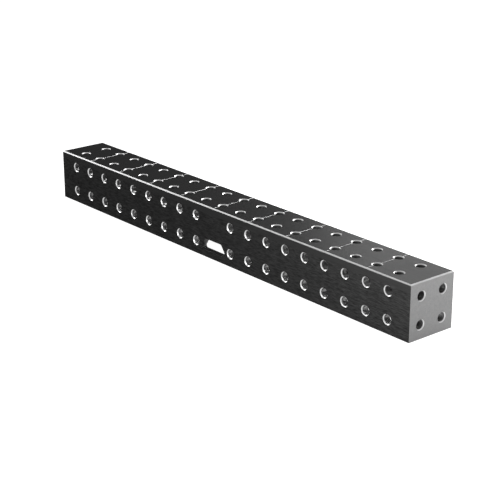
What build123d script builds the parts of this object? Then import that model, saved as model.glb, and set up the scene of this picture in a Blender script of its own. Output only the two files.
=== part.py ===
"""Bored U-shaped block for a modular welding table, in millimetres.

Five machined steel plates are welded into a trough that lies with its open side down.
Four cross ribs stiffen it from within. The origin is the middle of the footprint: X runs
along the block, Y from the front side to the rear side, and Z up from the surface it rests on.
"""

import os

from build123d import *

# Overall size
length = 1000.0
width = 100.0
height = 100.0

# Plates
top_thickness = 14.5
side_thickness = 14.5
end_thickness = 14.5
top_edge_bevel = 2.0

# Clamping bores, on one grid that is centred on every face
bore_diameter = 16.0
pitch = 50.0
first_column = 50.0
first_row = 25.0

# Scribed lines across the top
line_pitch = 100.0
first_line = 100.0
line_width = 1.0
line_depth = 0.5

# Trapezoid hand opening low in the middle of each long side
slot_bottom = 12.75
slot_height = 23.0
slot_top_width = 46.5
slot_bottom_width = 78.5
slot_top_radius = 5.5
slot_bottom_radius = 4.0
slot_inner_bevel = 1.5

# Cross ribs inside
rib_thickness = 10.0
rib_lift = 20.0
rib_corner_clip = 9.0
inner_rib_offset = 125.0
outer_rib_offset = 325.0

# Fillet welds inside
weld_leg = 5.0
weld_crown = 0.7
weld_end_slope = 3.0
seam_run = 24.0
end_run = 24.0
rib_side_run = 32.0
rib_top_run = 28.0

# Sizes that follow from the ones above
underside = height - top_thickness
half_inside = width / 2 - side_thickness
end_inside = length / 2 - end_thickness
bore_radius = bore_diameter / 2


def spread(extent, margin, step):
    """Centred positions, as many as fit between two margins at a fixed step."""
    count = int((extent - 2 * margin) / step + 1e-6) + 1
    return [(i - (count - 1) / 2) * step for i in range(count)]


columns = spread(length, first_column, pitch)
depth_rows = spread(width, first_row, pitch)
height_rows = [height / 2 + z for z in spread(height, first_row, pitch)]


def slot_half_width(z):
    """Half the opening's width at a height, along its straight slanted sides."""
    share = (z - slot_bottom) / slot_height
    return (slot_bottom_width + (slot_top_width - slot_bottom_width) * share) / 2


# The sides are left plain over the opening, where a column would run into it
plain_half = slot_half_width(min(height_rows)) + bore_radius
side_columns = [x for x in columns if abs(x) >= plain_half]

rib_places = {
    "outer_left_rib": -outer_rib_offset,
    "inner_left_rib": -inner_rib_offset,
    "inner_right_rib": inner_rib_offset,
    "outer_right_rib": outer_rib_offset,
}


def bores(outer_face, places, plate_thickness):
    """Cutters for bores through a plate, at places on its outer face."""
    cutter = Cylinder(bore_radius, plate_thickness, align=(Align.CENTER, Align.CENTER, Align.MAX))
    return [outer_face * Pos(u, v) * cutter for u, v in places]


def scribed_lines():
    """V-shaped cutters across the whole top, one for each scribed line."""
    half = line_width / 2
    section = make_face(Polyline((-half, height), (0, height - line_depth), (half, height), close=True))
    line = extrude(Plane.XZ * section, amount=width / 2, both=True)
    return [Pos(x, 0, 0) * line for x in spread(length, first_line, line_pitch)]


def make_top_plate():
    plate = Pos(0, 0, height) * Box(
        length, width, top_thickness, align=(Align.CENTER, Align.CENTER, Align.MAX)
    )
    plate = chamfer(plate.faces().sort_by(Axis.Z)[-1].edges(), top_edge_bevel)
    places = [(x, y) for x in columns for y in depth_rows]
    plate -= bores(Plane.XY.offset(height), places, top_thickness)
    return plate - scribed_lines()


def slot_outline():
    """The hand opening's outline, drawn with height as the second coordinate."""
    slot_top = slot_bottom + slot_height
    outline = make_face(
        Polyline(
            (-slot_bottom_width / 2, slot_bottom),
            (slot_bottom_width / 2, slot_bottom),
            (slot_top_width / 2, slot_top),
            (-slot_top_width / 2, slot_top),
            close=True,
        )
    )
    outline = fillet(outline.vertices().group_by(Axis.Y)[-1], slot_top_radius)
    return fillet(outline.vertices().group_by(Axis.Y)[0], slot_bottom_radius)


def make_front_side_plate():
    outer_face = Plane.XZ.offset(width / 2)
    inner_y = -half_inside
    plate = Pos(0, -width / 2, 0) * Box(
        length, side_thickness, underside, align=(Align.CENTER, Align.MIN, Align.MIN)
    )
    plate -= bores(outer_face, [(x, z) for x in side_columns for z in height_rows], side_thickness)
    plate -= extrude(outer_face * slot_outline(), amount=-side_thickness)
    rim = plate.edges().filter_by_position(Axis.Y, inner_y, inner_y)
    rim = rim.filter_by_position(Axis.X, -slot_bottom_width / 2, slot_bottom_width / 2)
    rim = rim.filter_by_position(Axis.Z, slot_bottom, slot_bottom + slot_height)
    return chamfer(rim, slot_inner_bevel)


def make_right_end_plate():
    plate = Pos(length / 2, 0, 0) * Box(
        end_thickness, 2 * half_inside, underside, align=(Align.MAX, Align.CENTER, Align.MIN)
    )
    outer_face = Plane.YZ.offset(length / 2)
    places = [(y, z) for y in depth_rows for z in height_rows]
    return plate - bores(outer_face, places, end_thickness)


def make_rib(x):
    """A cross rib with clipped upper corners, which stops short of the open underside."""
    shoulder = underside - rib_corner_clip
    flank = half_inside - rib_corner_clip
    outline = make_face(
        Polyline(
            (-half_inside, rib_lift),
            (half_inside, rib_lift),
            (half_inside, shoulder),
            (flank, underside),
            (-flank, underside),
            (-half_inside, shoulder),
            close=True,
        )
    )
    return extrude(Plane.YZ.offset(x) * outline, amount=rib_thickness / 2, both=True)


def weld(corner, first_wall, second_wall, run):
    """A crowned fillet weld in an inner corner, centred on a point and sloping off at both ends.

    The two walls are the directions in which the two plates lead away from the corner.
    """
    crown_reach = weld_leg / 2 + weld_crown / 2**0.5
    throat = crown_reach * 2**0.5
    section = make_face(
        Polyline((0, weld_leg), (0, 0), (weld_leg, 0))
        + ThreePointArc((weld_leg, 0), (crown_reach, crown_reach), (0, weld_leg))
    )
    side_view = make_face(
        Polyline(
            (0, -run / 2),
            (throat, weld_end_slope - run / 2),
            (throat, run / 2 - weld_end_slope),
            (0, run / 2),
            close=True,
        )
    )
    across_corner = Plane((0, 0, 0), x_dir=(1, 1, 0), z_dir=(1, -1, 0))
    bead = extrude(section, amount=run / 2, both=True)
    bead &= extrude(across_corner * side_view, amount=weld_leg, both=True)
    along = Vector(first_wall).cross(Vector(second_wall))
    return Plane(corner, x_dir=first_wall, z_dir=along) * bead


def seam_welds(side):
    """Stitches along the corner of the top and one side, between the columns and clear of the ribs."""
    gaps = [(left + right) / 2 for left, right in zip(columns, columns[1:])]
    clearance = (rib_thickness + seam_run) / 2 + weld_leg
    free = [x for x in gaps if all(abs(x - rib) > clearance for rib in rib_places.values())]
    return [weld((x, side * half_inside, underside), (0, -side, 0), (0, 0, -1), seam_run) for x in free]


def end_welds(name, end):
    """The three welds that hold one end plate, between its rows of bores."""
    x = end * end_inside
    inward = (-end, 0, 0)
    return {
        f"{name}_front_weld": [weld((x, -half_inside, height / 2), inward, (0, 1, 0), end_run)],
        f"{name}_rear_weld": [weld((x, half_inside, height / 2), inward, (0, -1, 0), end_run)],
        f"{name}_top_weld": [weld((x, 0, underside), inward, (0, 0, -1), end_run)],
    }


def rib_welds(name, rib):
    """A pair of welds, one on each face of the rib, at the front, the rear and the top."""
    middle = (rib_lift + underside - rib_corner_clip) / 2
    front, rear, top = [], [], []
    for face in (-1, 1):
        x = rib + face * rib_thickness / 2
        away = (face, 0, 0)
        front.append(weld((x, -half_inside, middle), away, (0, 1, 0), rib_side_run))
        rear.append(weld((x, half_inside, middle), away, (0, -1, 0), rib_side_run))
        top.append(weld((x, 0, underside), away, (0, 0, -1), rib_top_run))
    return {f"{name}_front_welds": front, f"{name}_rear_welds": rear, f"{name}_top_welds": top}


def build_parts():
    front = make_front_side_plate()
    right = make_right_end_plate()
    parts = {
        "top_plate": make_top_plate(),
        "front_side_plate": front,
        "rear_side_plate": mirror(front, Plane.XZ),
        "left_end_plate": mirror(right, Plane.YZ),
        "right_end_plate": right,
    }
    welds = {
        "front_seam_welds": seam_welds(-1),
        "rear_seam_welds": seam_welds(1),
        **end_welds("left_end", -1),
        **end_welds("right_end", 1),
    }
    for name, x in rib_places.items():
        parts[name] = make_rib(x)
        welds.update(rib_welds(name, x))
    for name, beads in welds.items():
        parts[name] = Compound(children=beads)
    return parts


os.makedirs("parts", exist_ok=True)
for node, shape in build_parts().items():
    export_step(shape, f"parts/{node}.step")
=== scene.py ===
"""The finish of a bored, U-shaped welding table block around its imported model, in metres."""

import math

import bmesh
import bpy
from mathutils import Euler, Matrix, Vector


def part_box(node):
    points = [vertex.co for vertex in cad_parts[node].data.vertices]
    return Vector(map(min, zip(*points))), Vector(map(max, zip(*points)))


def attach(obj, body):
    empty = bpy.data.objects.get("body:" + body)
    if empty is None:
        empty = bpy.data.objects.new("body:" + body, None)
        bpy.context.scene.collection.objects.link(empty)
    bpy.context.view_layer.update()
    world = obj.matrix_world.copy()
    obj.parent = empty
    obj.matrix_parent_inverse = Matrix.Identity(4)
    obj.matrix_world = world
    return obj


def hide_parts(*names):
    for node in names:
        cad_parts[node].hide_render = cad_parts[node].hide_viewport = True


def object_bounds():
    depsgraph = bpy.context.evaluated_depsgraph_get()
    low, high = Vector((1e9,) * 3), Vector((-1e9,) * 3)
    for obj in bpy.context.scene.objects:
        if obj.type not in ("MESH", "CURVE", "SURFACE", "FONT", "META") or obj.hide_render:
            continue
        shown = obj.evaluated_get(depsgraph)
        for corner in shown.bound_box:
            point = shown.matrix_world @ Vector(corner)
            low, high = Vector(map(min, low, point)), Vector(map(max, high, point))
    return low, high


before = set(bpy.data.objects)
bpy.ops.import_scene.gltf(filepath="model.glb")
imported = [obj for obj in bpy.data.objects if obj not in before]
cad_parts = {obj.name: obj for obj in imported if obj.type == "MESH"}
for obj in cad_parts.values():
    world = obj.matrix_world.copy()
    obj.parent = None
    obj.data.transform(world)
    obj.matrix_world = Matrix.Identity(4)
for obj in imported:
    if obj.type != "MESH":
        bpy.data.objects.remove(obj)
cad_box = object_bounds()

mm = 0.001

# Top plate: the clamping face of a 14.5 mm steel plate, surface-ground and then nitrided nearly black.
# 38 bores go through it on a 50 mm grid. After nitriding its outer edges are bevelled, the bores are
# countersunk and a line is scribed across it every 100 mm, so these show the bare steel.
block_low, block_high = cad_box
length, width, height = block_high - block_low
half_length, half_width, middle_height = length / 2, width / 2, height / 2
top_low, top_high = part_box("top_plate")
top_thickness = top_high.z - top_low.z
edge_bevel = 2 * mm

pitch = 50 * mm
bore_radius = 8 * mm
mouth_radius = 9.5 * mm
countersink_angle = math.radians(90)
bore_sides = 48
tool_start = 1 * mm

line_pitch = 100 * mm
line_depth = 0.5 * mm
scriber_length = 1.1 * width
least_edge = 0.003 * mm
least_sharp_angle = math.radians(20)

grinding_mark = Vector((60, 2.5, 2.5)) * mm
lapping_mark = Vector((3, 3, 3)) * mm
reaming_mark = Vector((1.5, 1.5, 1.5)) * mm
fine_mark_depth = 0.004 * mm
bare_mark = 0.8 * mm
gloss_spread = 0.04


def linear(hex_colour):
    """An sRGB colour such as 808080 as linear red, green, blue and alpha."""
    parts = [int(hex_colour[i : i + 2], 16) / 255 for i in (0, 2, 4)]
    return [c / 12.92 if c <= 0.04045 else ((c + 0.055) / 1.055) ** 2.4 for c in parts] + [1.0]


def add_node(tree, kind, inputs=None, **settings):
    """Adds a node with its settings, and sets or links its inputs, each found by name or number."""
    node = tree.nodes.new(kind)
    for name, value in settings.items():
        setattr(node, name, value)
    for key, value in (inputs or {}).items():
        if isinstance(value, bpy.types.NodeSocket):
            tree.links.new(value, node.inputs[key])
        else:
            node.inputs[key].default_value = value
    return node


def new_material(name):
    """An empty material, and its tree."""
    material = bpy.data.materials.new(name)
    material.use_nodes = True
    material.node_tree.nodes.clear()
    return material, material.node_tree


def nitrided_steel(name, dark, light, metallic, roughness, mark, mark_depth):
    """Nitrided steel: near black with a low sheen, and streaked by the marks of the tool before it.

    The marks run along the block. Real ones are 0.1 to 0.3 mm wide, too fine to show, so they are
    drawn about ten times as wide. The layer is partly a ceramic, so where it is smooth it isn't
    wholly metallic, and its dark edge tint keeps it dark at a low angle too.
    """
    material, tree = new_material(name)
    place = add_node(tree, "ShaderNodeTexCoord").outputs["Object"]
    per_mark = [1 / size for size in mark]
    stretched = add_node(tree, "ShaderNodeMapping", {"Vector": place, "Scale": per_mark}).outputs[0]
    streaks = add_node(
        tree,
        "ShaderNodeTexNoise",
        {"Vector": stretched, "Scale": 1.0, "Detail": 3.0, "Roughness": 0.6, "Distortion": 0.4},
    ).outputs["Fac"]
    share = add_node(
        tree, "ShaderNodeMapRange", {"Value": streaks, "From Min": 0.3, "From Max": 0.7}
    ).outputs["Result"]
    colour = add_node(
        tree,
        "ShaderNodeMix",
        {"Factor": share, 6: linear(dark), 7: linear(light)},
        data_type="RGBA",
    ).outputs[2]
    gloss = add_node(
        tree,
        "ShaderNodeMapRange",
        {
            "Value": streaks,
            "From Min": 0.3,
            "From Max": 0.7,
            "To Min": roughness + gloss_spread,
            "To Max": roughness - gloss_spread,
        },
    ).outputs["Result"]
    bump = add_node(
        tree, "ShaderNodeBump", {"Strength": 0.5, "Distance": mark_depth, "Height": streaks}
    ).outputs["Normal"]
    shader = add_node(
        tree,
        "ShaderNodeBsdfPrincipled",
        {
            "Base Color": colour,
            "Metallic": metallic,
            "Roughness": gloss,
            "Specular IOR Level": 0.3,
            "Specular Tint": linear("949494"),
            "Normal": bump,
        },
    )
    add_node(tree, "ShaderNodeOutputMaterial", {"Surface": shader.outputs["BSDF"]})
    return material


def bare_steel(name, colour, low_roughness, high_roughness):
    """Bare steel, cut through the dark layer: silver, and like satin where it is cut clean."""
    material, tree = new_material(name)
    place = add_node(tree, "ShaderNodeTexCoord").outputs["Object"]
    marks = add_node(
        tree, "ShaderNodeTexNoise", {"Vector": place, "Scale": 1 / bare_mark, "Detail": 2.0}
    ).outputs["Fac"]
    gloss = add_node(
        tree, "ShaderNodeMapRange", {"Value": marks, "To Min": low_roughness, "To Max": high_roughness}
    ).outputs["Result"]
    shader = add_node(
        tree,
        "ShaderNodeBsdfPrincipled",
        {"Base Color": linear(colour), "Metallic": 1.0, "Roughness": gloss},
    )
    add_node(tree, "ShaderNodeOutputMaterial", {"Surface": shader.outputs["BSDF"]})
    return material


# The ground top is dark and even, with long fine streaks
ground_steel = nitrided_steel(
    "nitrided_ground_steel", "282828", "2e2e2e", 0.92, 0.47, grinding_mark, fine_mark_depth
)
# The ends of the block are a lighter, smooth copy of the dark steel: the lightness is painted light
lit_end_steel = nitrided_steel(
    "nitrided_end_steel", "6b6b6b", "717171", 0.9, 0.5, lapping_mark, fine_mark_depth
)
# Walls of the bores in the sides and ends are a lighter copy of the dark steel: painted light, as
# reflected inside the bores
lit_bore_steel = nitrided_steel(
    "nitrided_bore_steel", "9a9a9a", "a2a2a2", 0.9, 0.4, reaming_mark, fine_mark_depth
)
# The walls of the top's bores and of the hand openings are a darker copy of the lit bore steel: painted
# shade, so these look deep
shaded_wall_steel = nitrided_steel(
    "nitrided_deep_steel", "606060", "686868", 0.9, 0.4, reaming_mark, fine_mark_depth
)
# Countersinks in the sides and ends are bright crescents
cut_steel = bare_steel("bare_machined_steel", "c0c0c0", 0.28, 0.38)
# What is cut into the top is a darker, rougher copy of the bare steel: the darkness is painted shade
# that keeps bright highlights off it
shaded_cut_steel = bare_steel("bare_brushed_steel", "8c8c8c", 0.45, 0.55)


def new_geometry_tree(name, wanted):
    """A tree that gives one geometry, its named inputs, and the identifier of each."""
    tree = bpy.data.node_groups.new(name, "GeometryNodeTree")
    sockets = {}
    for title, kind in wanted.items():
        socket = tree.interface.new_socket(title, in_out="INPUT", socket_type="NodeSocket" + kind)
        sockets[title] = socket.identifier
    tree.interface.new_socket("Geometry", in_out="OUTPUT", socket_type="NodeSocketGeometry")
    return tree, add_node(tree, "NodeGroupInput").outputs, sockets


def use_tree(piece, tree, sockets, values):
    """Gives a piece a modifier that runs the tree with these values of its named inputs."""
    modifier = piece.modifiers.new(tree.name, "NODES")
    modifier.node_group = tree
    for title, value in values.items():
        modifier[sockets[title]] = value


def bored_plate_tree():
    """Bores a plate that lies face up at zero height, and scribes lines across it."""
    wanted = {
        "Plate": "Geometry",
        "Columns": "Int",
        "Rows": "Int",
        "Grid Length": "Float",
        "Grid Width": "Float",
        "Plain Half": "Float",
        "Bore Sides": "Int",
        "Tool Radius": "Float",
        "Tool Place": "Vector",
        "Tool Turn": "Vector",
        "Countersink Travel": "Float",
        "Bore Share": "Float",
        "Bore Travel": "Float",
        "Plate Middle": "Vector",
        "Wall Limit": "Vector",
        "Lines": "Int",
        "First Line": "Vector",
        "Line Step": "Vector",
        "Scriber Size": "Vector",
        "Plate Steel": "Material",
        "End Steel": "Material",
        "Bore Steel": "Material",
        "Opening Steel": "Material",
        "Cut Steel": "Material",
    }
    tree, size, sockets = new_geometry_tree("bored_plate", wanted)

    # Bore centres: a grid of points, less those over the plain middle
    grid = add_node(
        tree,
        "GeometryNodeMeshGrid",
        {
            "Size X": size["Grid Length"],
            "Size Y": size["Grid Width"],
            "Vertices X": size["Columns"],
            "Vertices Y": size["Rows"],
        },
    ).outputs["Mesh"]
    position = add_node(tree, "GeometryNodeInputPosition").outputs["Position"]
    along = add_node(tree, "ShaderNodeSeparateXYZ", {0: position}).outputs["X"]
    from_middle = add_node(tree, "ShaderNodeMath", {0: along}, operation="ABSOLUTE").outputs[0]
    in_middle = add_node(
        tree, "FunctionNodeCompare", {0: from_middle, 1: size["Plain Half"]}, operation="LESS_THAN"
    ).outputs[0]
    centres = add_node(
        tree, "GeometryNodeDeleteGeometry", {"Geometry": grid, "Selection": in_middle}, domain="POINT"
    ).outputs["Geometry"]

    # The tool: a disc that narrows over the countersink's depth, then goes on through the plate
    disc = add_node(
        tree,
        "GeometryNodeMeshCylinder",
        {
            "Vertices": size["Bore Sides"],
            "Radius": size["Tool Radius"],
            "Depth": size["Countersink Travel"],
        },
    ).outputs
    cone = add_node(
        tree,
        "GeometryNodeScaleElements",
        {"Geometry": disc["Mesh"], "Selection": disc["Bottom"], "Scale": size["Bore Share"]},
    ).outputs["Geometry"]
    tool = add_node(
        tree,
        "GeometryNodeExtrudeMesh",
        {"Mesh": cone, "Selection": disc["Bottom"], "Offset Scale": size["Bore Travel"]},
    ).outputs["Mesh"]
    tool = add_node(
        tree,
        "GeometryNodeTransform",
        {"Geometry": tool, "Translation": size["Tool Place"], "Rotation": size["Tool Turn"]},
    ).outputs["Geometry"]
    tools = add_node(
        tree, "GeometryNodeInstanceOnPoints", {"Points": centres, "Instance": tool}
    ).outputs["Instances"]
    tools = add_node(tree, "GeometryNodeRealizeInstances", {"Geometry": tools}).outputs["Geometry"]
    bored = add_node(
        tree,
        "GeometryNodeMeshBoolean",
        {"Mesh 1": size["Plate"], "Mesh 2": tools},
        operation="DIFFERENCE",
        solver="EXACT",
    ).outputs["Mesh"]

    # The scriber: a square bar on edge, sunk to half its height at each line
    bar = add_node(tree, "GeometryNodeMeshCube", {"Size": size["Scriber Size"]}).outputs["Mesh"]
    bar = add_node(
        tree, "GeometryNodeTransform", {"Geometry": bar, "Rotation": (0, math.radians(45), 0)}
    ).outputs["Geometry"]
    row = add_node(
        tree,
        "GeometryNodeMeshLine",
        {"Count": size["Lines"], "Start Location": size["First Line"], "Offset": size["Line Step"]},
    ).outputs["Mesh"]
    bars = add_node(
        tree, "GeometryNodeInstanceOnPoints", {"Points": row, "Instance": bar}
    ).outputs["Instances"]
    bars = add_node(tree, "GeometryNodeRealizeInstances", {"Geometry": bars}).outputs["Geometry"]
    scribed = add_node(
        tree,
        "GeometryNodeMeshBoolean",
        {"Mesh 1": bored, "Mesh 2": bars},
        operation="DIFFERENCE",
        solver="EXACT",
    ).outputs["Mesh"]
    clean = add_node(
        tree, "GeometryNodeMergeByDistance", {"Geometry": scribed, "Distance": least_edge}
    ).outputs["Geometry"]

    # Slanted faces are cut through the layer: the bevel, the countersinks and the lines. Upright ones
    # within the rim are walls of a bore or, in the plain middle, of the hand opening. The others that
    # look along the plate are its ends
    normal = add_node(tree, "GeometryNodeInputNormal").outputs["Normal"]
    look = add_node(tree, "ShaderNodeSeparateXYZ", {0: normal}).outputs
    upward = look["Z"]
    endward = add_node(tree, "ShaderNodeMath", {0: look["X"]}, operation="ABSOLUTE").outputs[0]
    at_end = add_node(
        tree, "FunctionNodeCompare", {0: endward, 1: 0.9}, operation="GREATER_THAN"
    ).outputs[0]
    slanted = add_node(
        tree, "FunctionNodeCompare", {0: upward, 1: 0.7, "Epsilon": 0.15}, operation="EQUAL"
    ).outputs[0]
    upright = add_node(
        tree, "FunctionNodeCompare", {0: upward, 1: 0.0, "Epsilon": 0.1}, operation="EQUAL"
    ).outputs[0]
    off_middle = add_node(
        tree, "ShaderNodeVectorMath", {0: position, 1: size["Plate Middle"]}, operation="SUBTRACT"
    ).outputs[0]
    off_middle = add_node(
        tree, "ShaderNodeVectorMath", {0: off_middle}, operation="ABSOLUTE"
    ).outputs[0]
    within = add_node(
        tree,
        "FunctionNodeCompare",
        {"A": off_middle, "B": size["Wall Limit"]},
        data_type="VECTOR",
        mode="ELEMENT",
        operation="LESS_THAN",
    ).outputs[0]
    wall = add_node(
        tree, "FunctionNodeBooleanMath", {0: upright, 1: within}, operation="AND"
    ).outputs[0]
    in_opening = add_node(
        tree, "FunctionNodeBooleanMath", {0: wall, 1: in_middle}, operation="AND"
    ).outputs[0]
    whole = add_node(tree, "GeometryNodeRealizeInstances", {"Geometry": clean}).outputs["Geometry"]
    plated = add_node(
        tree, "GeometryNodeSetMaterial", {"Geometry": whole, "Material": size["Plate Steel"]}
    ).outputs["Geometry"]
    # The plates' ends get the lighter end steel: painted light
    ends_lit = add_node(
        tree,
        "GeometryNodeSetMaterial",
        {"Geometry": plated, "Selection": at_end, "Material": size["End Steel"]},
    ).outputs["Geometry"]
    # Bore walls get a steel lighter than the faces, painted light; the top's is the darker copy, painted
    # shade
    bore_walls_painted = add_node(
        tree,
        "GeometryNodeSetMaterial",
        {"Geometry": ends_lit, "Selection": wall, "Material": size["Bore Steel"]},
    ).outputs["Geometry"]
    # The hand opening's walls get the darker copy: painted shade
    opened = add_node(
        tree,
        "GeometryNodeSetMaterial",
        {"Geometry": bore_walls_painted, "Selection": in_opening, "Material": size["Opening Steel"]},
    ).outputs["Geometry"]
    cut = add_node(
        tree,
        "GeometryNodeSetMaterial",
        {"Geometry": opened, "Selection": slanted, "Material": size["Cut Steel"]},
    ).outputs["Geometry"]
    add_node(tree, "NodeGroupOutput", {"Geometry": cut})
    return tree, sockets


bored_plate, bored_plate_sockets = bored_plate_tree()


def new_piece(name, form, steel):
    """An object at the origin from a form in edit, in one steel."""
    mesh = bpy.data.meshes.new(name)
    form.to_mesh(mesh)
    form.free()
    mesh.materials.append(steel)
    piece = bpy.data.objects.new(name, mesh)
    bpy.context.scene.collection.objects.link(piece)
    return piece


def blank_plate(name, low, high, steel, face_bevel=0.0):
    """A plain plate between two corners, with its upper edges bevelled."""
    form = bmesh.new()
    bmesh.ops.create_cube(form, size=1.0)
    centre = (high + low) / 2
    shape = Matrix.Translation(centre) @ Matrix.Diagonal((*(high - low), 1))
    bmesh.ops.transform(form, matrix=shape, verts=form.verts)
    if face_bevel:
        upper = [edge for edge in form.edges if all(v.co.z > centre.z for v in edge.verts)]
        bmesh.ops.bevel(form, geom=upper, offset=face_bevel, segments=1, affect="EDGES")
    return new_piece(name, form, steel)


def freeze(piece, place=(0, 0, 0), turn=(0, 0, 0)):
    """Makes what the modifiers give into the piece's own mesh, in its place, with real edges sharp."""
    shape = piece.evaluated_get(bpy.context.evaluated_depsgraph_get())
    mesh = bpy.data.meshes.new_from_object(shape)
    mesh.transform(Matrix.Translation(place) @ Euler(turn).to_matrix().to_4x4())
    mesh.shade_smooth()
    mesh.set_sharp_from_angle(angle=least_sharp_angle)
    mesh.name = piece.name
    piece.modifiers.clear()
    piece.data = mesh


def bore(piece, low, high, steels, columns, rows, plain_half=0.0, lines=0):
    """Gives the plate between two corners, face up, its bores and lines, and the steel of its faces."""
    rim = Vector((edge_bevel, edge_bevel, 0))
    countersink_depth = (mouth_radius - bore_radius) / math.tan(countersink_angle / 2)
    tool_radius = mouth_radius + tool_start * math.tan(countersink_angle / 2)
    travel = tool_start + countersink_depth
    scriber_side = line_depth * math.sqrt(2)
    values = {
        "Columns": columns,
        "Rows": rows,
        "Grid Length": (columns - 1) * pitch,
        "Grid Width": (rows - 1) * pitch,
        "Plain Half": plain_half,
        "Bore Sides": bore_sides,
        "Tool Radius": tool_radius,
        "Tool Place": (0, 0, tool_start - travel / 2),
        "Tool Turn": (0, 0, math.pi / bore_sides),
        "Countersink Travel": travel,
        "Bore Share": bore_radius / tool_radius,
        "Bore Travel": high.z - low.z,
        "Plate Middle": (low + high) / 2,
        "Wall Limit": (high - low) / 2 - rim,
        "Lines": lines,
        "First Line": ((1 - lines) * line_pitch / 2, 0, 0),
        "Line Step": (line_pitch, 0, 0),
        "Scriber Size": (scriber_side, scriber_length, scriber_side),
        "End Steel": lit_end_steel,
        **steels,
    }
    use_tree(piece, bored_plate, bored_plate_sockets, values)


columns = round(length / pitch) - 1
rows = round(width / pitch)
lines = round(length / line_pitch) - 1
top_foot = Vector((-half_length, -half_width, -top_thickness))
top_corner = Vector((half_length, half_width, 0))
clamping_plate = blank_plate("clamping_plate", top_foot, top_corner, ground_steel, edge_bevel)
top_steels = {
    "Plate Steel": ground_steel,
    "Bore Steel": shaded_wall_steel,
    "Opening Steel": shaded_wall_steel,
    "Cut Steel": shaded_cut_steel,
}
bore(clamping_plate, top_foot, top_corner, top_steels, columns, rows, lines=lines)
freeze(clamping_plate, (0, 0, height))
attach(clamping_plate, "root")
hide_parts("top_plate")

# Side plates: two milled 14.5 mm steel plates with the same bores, nitrided with the top. A trapezoid
# hand opening is cut low in the middle of each, where the bores leave out one column, and its inner
# rim is bevelled for the hand. They are welded under the top plate from within.
side_low, side_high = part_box("front_side_plate")
side_thickness = side_high.y - side_low.y
slot_bottom = 12.75 * mm
slot_height = 23 * mm
slot_top_width = 46.5 * mm
slot_bottom_width = 78.5 * mm
slot_top_radius = 5.5 * mm
slot_bottom_radius = 4 * mm
slot_inner_bevel = 1.5 * mm
lower_row = middle_height - pitch / 2
slot_slant = (slot_bottom_width - slot_top_width) / slot_height
plain_half = (slot_bottom_width - slot_slant * (lower_row - slot_bottom)) / 2 + bore_radius
milling_mark = Vector((11, 1.5, 1.2)) * mm
milling_mark_depth = 0.02 * mm

# The sides are as milled, so they are darker and coarsely streaked
milled_steel = nitrided_steel(
    "nitrided_milled_steel", "1a1a1a", "373737", 1.0, 0.5, milling_mark, milling_mark_depth
)


def rounded(corners, radii, steps=8):
    """A closed outline, anticlockwise, with each corner turned into an arc of its radius."""
    outline = []
    for i, (corner, radius) in enumerate(zip(corners, radii)):
        before = (corners[i - 1] - corner).normalized()
        after = (corners[(i + 1) % len(corners)] - corner).normalized()
        half_angle = before.angle(after) / 2
        centre = corner + (before + after).normalized() * (radius / math.sin(half_angle))
        start = corner + before * (radius / math.tan(half_angle)) - centre
        turn = math.pi - 2 * half_angle
        for step in range(steps + 1):
            outline.append(centre + Matrix.Rotation(turn * step / steps, 2) @ start)
    return outline


def opening_plug(thickness):
    """A plug the shape of the hand opening, which flares at the inner side."""
    bottom = slot_bottom - middle_height
    top = bottom + slot_height
    flare = slot_inner_bevel + tool_start
    sections = [(flare, -thickness - tool_start), (0, slot_inner_bevel - thickness), (0, tool_start)]
    form = bmesh.new()
    rings = []
    for grow, level in sections:
        lean = grow * (math.hypot(1, slot_slant / 2) - slot_slant / 2)
        spread = grow * (math.hypot(1, slot_slant / 2) + slot_slant / 2)
        corners = [
            Vector((-slot_bottom_width / 2 - spread, bottom - grow)),
            Vector((slot_bottom_width / 2 + spread, bottom - grow)),
            Vector((slot_top_width / 2 + lean, top + grow)),
            Vector((-slot_top_width / 2 - lean, top + grow)),
        ]
        outline = rounded(corners, [slot_bottom_radius + grow] * 2 + [slot_top_radius + grow] * 2)
        rings.append([form.verts.new((*point, level)) for point in outline])
    for lower, upper in zip(rings, rings[1:]):
        for i in range(len(lower)):
            form.faces.new((lower[i - 1], lower[i], upper[i], upper[i - 1]))
    form.faces.new(rings[0][::-1])
    form.faces.new(rings[-1])
    # The plug's darker wall steel, painted shade, goes onto the faces it cuts
    return new_piece("opening_plug", form, shaded_wall_steel)


plug = opening_plug(side_thickness)
side_corner = Vector((half_length, side_high.z - middle_height, 0))
side_foot = Vector((-half_length, -middle_height, -side_thickness))
side_steels = {
    "Plate Steel": milled_steel,
    "Bore Steel": lit_bore_steel,
    "Opening Steel": shaded_wall_steel,
    "Cut Steel": cut_steel,
}
for name, node, face_y, turn in (
    ("front_side", "front_side_plate", -half_width, 0),
    ("rear_side", "rear_side_plate", half_width, 180),
):
    side = blank_plate(name, side_foot, side_corner, milled_steel)
    opening = side.modifiers.new("hand_opening", "BOOLEAN")
    opening.operation = "DIFFERENCE"
    opening.solver = "EXACT"
    opening.object = plug
    bore(side, side_foot, side_corner, side_steels, columns, rows, plain_half)
    freeze(side, (0, face_y, middle_height), (math.radians(90), 0, math.radians(turn)))
    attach(side, "root")
    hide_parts(node)
bpy.data.objects.remove(plug)

# End plates: two ground 14.5 mm steel plates between the side plates and under the top plate, with
# four of the same bores each, so that the block can be bolted to another table or block. Each is
# held by three short welds inside.
end_low, end_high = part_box("right_end_plate")
end_thickness = end_high.x - end_low.x
end_foot = Vector((end_low.y, -middle_height, -end_thickness))
end_corner = Vector((end_high.y, end_high.z - middle_height, 0))
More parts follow.
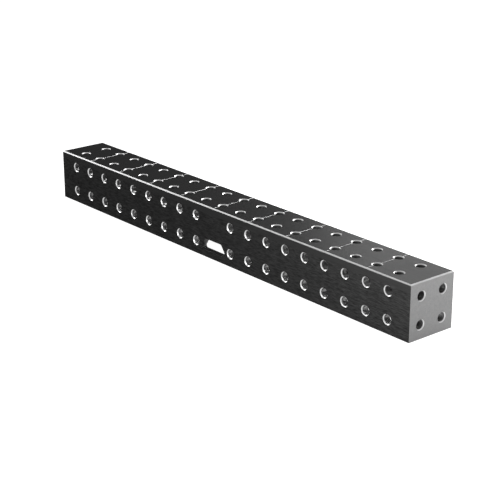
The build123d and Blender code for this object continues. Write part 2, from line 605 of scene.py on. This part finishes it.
# The end plates are wholly in the lighter end steel, which is painted light
end_steels = {**side_steels, "Plate Steel": lit_end_steel, "Opening Steel": lit_bore_steel}
for name, node, hand in (("right_end", "right_end_plate", 1), ("left_end", "left_end_plate", -1)):
    end = blank_plate(name, end_foot, end_corner, lit_end_steel)
    bore(end, end_foot, end_corner, end_steels, rows, rows)
    freeze(end, (half_length * hand, 0, middle_height), (math.radians(90), 0, math.radians(90) * hand))
    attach(end, "root")
    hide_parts(node)

# Cross ribs: four pieces laser-cut from 10 mm hot-rolled plate, with their upper corners clipped so
# that the long welds run past them. They keep the blue-grey scale of the mill, and their cut edges
# are broken by hand before they are welded in.
rib_names = ["outer_left_rib", "inner_left_rib", "inner_right_rib", "outer_right_rib"]
rib_edge_break = 0.5 * mm
scale_patch = 25 * mm
scale_depth = 0.05 * mm
flat_angle = math.radians(1)
same_place = 0.001 * mm


def mill_scale_steel():
    """Hot-rolled steel: a matt blue-grey scale, cloudy in patches and rough to the touch."""
    material, tree = new_material("mill_scale_steel")
    place = add_node(tree, "ShaderNodeTexCoord").outputs["Object"]
    patches = add_node(
        tree,
        "ShaderNodeTexNoise",
        {"Vector": place, "Scale": 1 / scale_patch, "Detail": 6.0, "Roughness": 0.65},
    ).outputs["Fac"]
    share = add_node(
        tree, "ShaderNodeMapRange", {"Value": patches, "From Min": 0.35, "From Max": 0.65}
    ).outputs["Result"]
    colour = add_node(
        tree,
        "ShaderNodeMix",
        {"Factor": share, 6: linear("3f4348"), 7: linear("585a5e")},
        data_type="RGBA",
    ).outputs[2]
    gloss = add_node(
        tree, "ShaderNodeMapRange", {"Value": patches, "To Min": 0.45, "To Max": 0.7}
    ).outputs["Result"]
    bump = add_node(
        tree, "ShaderNodeBump", {"Strength": 0.5, "Distance": scale_depth, "Height": patches}
    ).outputs["Normal"]
    shader = add_node(
        tree,
        "ShaderNodeBsdfPrincipled",
        {"Base Color": colour, "Metallic": 1.0, "Roughness": gloss, "Normal": bump},
    )
    add_node(tree, "ShaderNodeOutputMaterial", {"Surface": shader.outputs["BSDF"]})
    return material


rib_steel = mill_scale_steel()


def joined_form(node):
    """A copy of a node's mesh with its triangles joined at their corners and in each flat face."""
    form = bmesh.new()
    form.from_mesh(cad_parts[node].data)
    bmesh.ops.remove_doubles(form, verts=form.verts, dist=same_place)
    bmesh.ops.dissolve_limit(form, angle_limit=flat_angle, verts=form.verts, edges=form.edges)
    return form


for node in rib_names:
    form = joined_form(node)
    bmesh.ops.bevel(
        form, geom=form.edges, offset=rib_edge_break, segments=2, profile=0.5, affect="EDGES"
    )
    rib = new_piece(node + "_plate", form, rib_steel)
    freeze(rib)
    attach(rib, "root")
    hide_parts(node)

# Fillet welds: short MAG beads of 5 mm leg in the inner corners, laid in overlapping ripples that
# curve back from the middle of the bead. They are left as welded, silver-grey with straw-brown
# traces of heat, because nobody sees them from above.
weld_leg = 5 * mm
weld_crown = 0.7 * mm
weld_end = 3 * mm
ripple_pitch = 2 * mm
ripple_depth = 0.4 * mm
ripple_mean = 0.8
ripple_bend = 1.2 * mm
heat_tint_patch = 6 * mm
rings_to_a_ripple = 6
steps_across = 9


def weld_metal():
    """Solidified weld metal: bright where the ripples crest, and tinted brown by the heat."""
    material, tree = new_material("weld_metal_as_laid")
    place = add_node(tree, "ShaderNodeTexCoord").outputs["Object"]
    tint = add_node(
        tree, "ShaderNodeTexNoise", {"Vector": place, "Scale": 1 / heat_tint_patch, "Detail": 3.0}
    ).outputs["Fac"]
    share = add_node(
        tree, "ShaderNodeMapRange", {"Value": tint, "From Min": 0.4, "From Max": 0.65}
    ).outputs["Result"]
    colour = add_node(
        tree,
        "ShaderNodeMix",
        {"Factor": share, 6: linear("a3a19d"), 7: linear("84735f")},
        data_type="RGBA",
    ).outputs[2]
    gloss = add_node(
        tree, "ShaderNodeMapRange", {"Value": tint, "To Min": 0.3, "To Max": 0.5}
    ).outputs["Result"]
    shader = add_node(
        tree, "ShaderNodeBsdfPrincipled", {"Base Color": colour, "Metallic": 1.0, "Roughness": gloss}
    )
    add_node(tree, "ShaderNodeOutputMaterial", {"Surface": shader.outputs["BSDF"]})
    return material


bead_steel = weld_metal()


def rippled_bead(run):
    """One bead in a corner of two walls that lead away along X and Y, with its run along Z."""
    form = bmesh.new()
    rings = []
    ring_count = round(run / ripple_pitch) * rings_to_a_ripple
    for i in range(1, ring_count):
        along = (i / ring_count - 0.5) * run
        short = 1 - min((run / 2 - abs(along)) / weld_end, 1)
        taper = math.sqrt(1 - short**2)
        ring = [form.verts.new((0, 0, along))]
        for step in range(steps_across + 1):
            angle = math.pi / 2 * step / steps_across
            crown = math.sin(2 * angle)
            ripple = abs(math.sin(math.pi * (along + crown * ripple_bend) / ripple_pitch))
            reach = weld_leg / (math.cos(angle) + math.sin(angle)) + weld_crown * crown
            reach = (reach + (ripple - ripple_mean) * ripple_depth * crown) * taper
            ring.append(form.verts.new((reach * math.cos(angle), reach * math.sin(angle), along)))
        rings.append(ring)
    for lower, upper in zip(rings, rings[1:]):
        for i in range(len(lower)):
            form.faces.new((lower[i - 1], lower[i], upper[i], upper[i - 1]))
    for ring, end in ((rings[0], -run / 2), (rings[-1], run / 2)):
        pole = form.verts.new((0, 0, end))
        for i in range(len(ring)):
            form.faces.new((ring[i - 1], ring[i], pole))
    bmesh.ops.recalc_face_normals(form, faces=form.faces)
    return new_piece("bead", form, bead_steel)


def laid_beads_tree():
    """Lays one bead at each corner point, turned to its two walls."""
    wanted = {"Corners": "Geometry", "Bead": "Object", "Bead Size": "Float", "Steel": "Material"}
    tree, size, sockets = new_geometry_tree("laid_beads", wanted)
    bead = add_node(tree, "GeometryNodeObjectInfo", {"Object": size["Bead"]}).outputs["Geometry"]
    turn = add_node(
        tree, "GeometryNodeInputNamedAttribute", {"Name": "turn"}, data_type="FLOAT_VECTOR"
    ).outputs["Attribute"]
    rotation = add_node(tree, "FunctionNodeEulerToRotation", {0: turn}).outputs[0]
    beads = add_node(
        tree,
        "GeometryNodeInstanceOnPoints",
        {"Points": size["Corners"], "Instance": bead, "Rotation": rotation, "Scale": size["Bead Size"]},
    ).outputs["Instances"]
    beads = add_node(tree, "GeometryNodeRealizeInstances", {"Geometry": beads}).outputs["Geometry"]
    beads = add_node(
        tree, "GeometryNodeSetMaterial", {"Geometry": beads, "Material": size["Steel"]}
    ).outputs["Geometry"]
    add_node(tree, "NodeGroupOutput", {"Geometry": beads})
    return tree, sockets


laid_beads, laid_beads_sockets = laid_beads_tree()


def loose_boxes(node):
    """The lowest and highest corner of each separate solid in a node."""
    form = joined_form(node)
    boxes = []
    left = set(form.verts)
    while left:
        group = {left.pop()}
        front = list(group)
        while front:
            vertex = front.pop()
            near = {edge.other_vert(vertex) for edge in vertex.link_edges} - group
            group |= near
            front += near
        left -= group
        boxes.append([Vector(pick(v.co[i] for v in group) for i in range(3)) for pick in (min, max)])
    form.free()
    return boxes


def lay_beads(node, first_wall, second_wall, middle=None):
    """Rippled beads in place of a node's plain ones, in the corner of two walls that lead away.

    A pair of beads on both faces of a rib is given the rib's middle, which mirrors its first wall.
    """
    form = bmesh.new()
    turn_of = form.verts.layers.float_vector.new("turn")
    for low, high in loose_boxes(node):
        corner = (low + high) / 2
        mirrored = middle is not None and corner.x < middle
        first, second = Vector(first_wall) * (-1 if mirrored else 1), Vector(second_wall)
        for wall in (first, second):
            axis = max(range(3), key=lambda i: abs(wall[i]))
            corner[axis] = low[axis] if wall[axis] > 0 else high[axis]
        walls = Matrix((first, second, first.cross(second))).transposed()
        form.verts.new(corner)[turn_of] = walls.to_euler()
    bead = rippled_bead(max(high - low))
    beads = new_piece(node + "_beads", form, bead_steel)
    values = {"Bead": bead, "Bead Size": 1.0, "Steel": bead_steel}
    use_tree(beads, laid_beads, laid_beads_sockets, values)
    freeze(beads)
    bpy.data.objects.remove(bead)
    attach(beads, "root")
    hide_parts(node)


away_from = {"front": (0, 1, 0), "rear": (0, -1, 0), "top": (0, 0, -1)}
for side in ("front", "rear"):
    lay_beads(side + "_seam_welds", away_from[side], away_from["top"])
for end, inward in (("left", (1, 0, 0)), ("right", (-1, 0, 0))):
    for place, wall in away_from.items():
        lay_beads(f"{end}_end_{place}_weld", inward, wall)
for rib in rib_names:
    low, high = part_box(rib)
    middle = (low.x + high.x) / 2
    for place, wall in away_from.items():
        lay_beads(f"{rib}_{place}_welds", (1, 0, 0), wall, middle)

# Stage: a plain pale floor in a white room, which the metal sees as white as the camera does. Softboxes
# stand low off the right-hand end, behind the block and before it, and weaker ones hang over it and
# at the left.
floor_half = 20.0
floor_white = 0.97
room_white = 1.0
room_dim = 0.35
plain_white = (1, 1, 1, 1)


def seen_rays(tree):
    """One on a ray from the camera, or by way of metal or glass, and zero on one that only lights."""
    path = add_node(tree, "ShaderNodeLightPath").outputs
    total = path["Is Camera Ray"]
    for kind in ("Is Glossy Ray", "Is Transmission Ray"):
        total = add_node(tree, "ShaderNodeMath", {0: total, 1: path[kind]}, operation="ADD").outputs[0]
    return total


def pale_floor():
    """A matt pale floor that looks white, keeps a soft shadow and isn't seen from below."""
    material, tree = new_material("pale_floor")
    white = add_node(
        tree, "ShaderNodeMath", {0: seen_rays(tree), 1: floor_white}, operation="MULTIPLY"
    ).outputs[0]
    matt = add_node(tree, "ShaderNodeBsdfDiffuse", {"Color": linear("909090")}).outputs[0]
    glow = add_node(tree, "ShaderNodeEmission", {"Color": plain_white, "Strength": white}).outputs[0]
    lit = add_node(tree, "ShaderNodeAddShader", {0: matt, 1: glow}).outputs[0]
    below = add_node(tree, "ShaderNodeNewGeometry").outputs["Backfacing"]
    clear = add_node(tree, "ShaderNodeBsdfTransparent").outputs[0]
    surface = add_node(tree, "ShaderNodeMixShader", {"Fac": below, 1: lit, 2: clear}).outputs[0]
    add_node(tree, "ShaderNodeOutputMaterial", {"Surface": surface})
    return material


form = bmesh.new()
bmesh.ops.create_grid(form, x_segments=1, y_segments=1, size=floor_half)
floor = new_piece("floor", form, pale_floor())

world = bpy.data.worlds.new("white_room")
bpy.context.scene.world = world
world.use_nodes = True
room = world.node_tree
room.nodes.clear()
dim = add_node(room, "ShaderNodeBackground", {"Color": plain_white, "Strength": room_dim}).outputs[0]
white = add_node(room, "ShaderNodeBackground", {"Color": plain_white, "Strength": room_white}).outputs[0]
walls = add_node(room, "ShaderNodeMixShader", {"Fac": seen_rays(room), 1: dim, 2: white}).outputs[0]
add_node(room, "ShaderNodeOutputWorld", {"Surface": walls})


def softbox(name, aim, azimuth, elevation, distance, size, power):
    """A square soft light, unseen itself, at a bearing and height from its aim.

    Azimuth 0 is in front and 90 at the right, in degrees. Sizes are in metres and power is in watts.
    """
    light = bpy.data.lights.new(name, "AREA")
    light.shape = "SQUARE"
    light.size = size
    light.energy = power
    lamp = bpy.data.objects.new(name, light)
    bpy.context.scene.collection.objects.link(lamp)
    turn = Euler((math.radians(90 - elevation), 0, math.radians(azimuth)))
    lamp.location = Vector(aim) + turn.to_matrix() @ Vector((0, 0, distance))
    lamp.rotation_euler = turn
    lamp.visible_camera = False


softbox(
    "right_softbox", (0.5, 0, 0.05), azimuth=125, elevation=3, distance=1.6, size=0.6, power=27
)
softbox(
    "rear_softbox", (0.85, 0, 0.1), azimuth=220, elevation=20, distance=1.3, size=1.1, power=68
)
softbox(
    "top_softbox", (0, 0, 0.1), azimuth=90, elevation=90, distance=1.6, size=1.4, power=5
)
softbox(
    "front_softbox", (0.95, -0.05, 0.05), azimuth=-42, elevation=8, distance=0.95, size=0.6, power=11
)
softbox(
    "left_softbox", (-0.5, 0, 0.1), azimuth=-65, elevation=37, distance=1.2, size=0.6, power=10
)

# The camera looks down on the right-hand end, with a long lens, so that the block lies as photographed
camera_azimuth = math.radians(49.96)
camera_elevation = math.radians(20.02)
camera_distance = 2.62
camera_aim = Vector((29.75, 14.12, 12.42)) * mm
camera_data = bpy.data.cameras.new("camera")
camera_data.sensor_width = 36
camera_data.lens = 101.32
camera = bpy.data.objects.new("camera", camera_data)
bpy.context.scene.collection.objects.link(camera)
camera.rotation_euler = (math.radians(90) - camera_elevation, 0, camera_azimuth)
back_from_aim = camera.rotation_euler.to_matrix() @ Vector((0, 0, camera_distance))
camera.location = camera_aim + back_from_aim
bpy.context.scene.camera = camera
bpy.context.scene.view_settings.view_transform = "Standard"
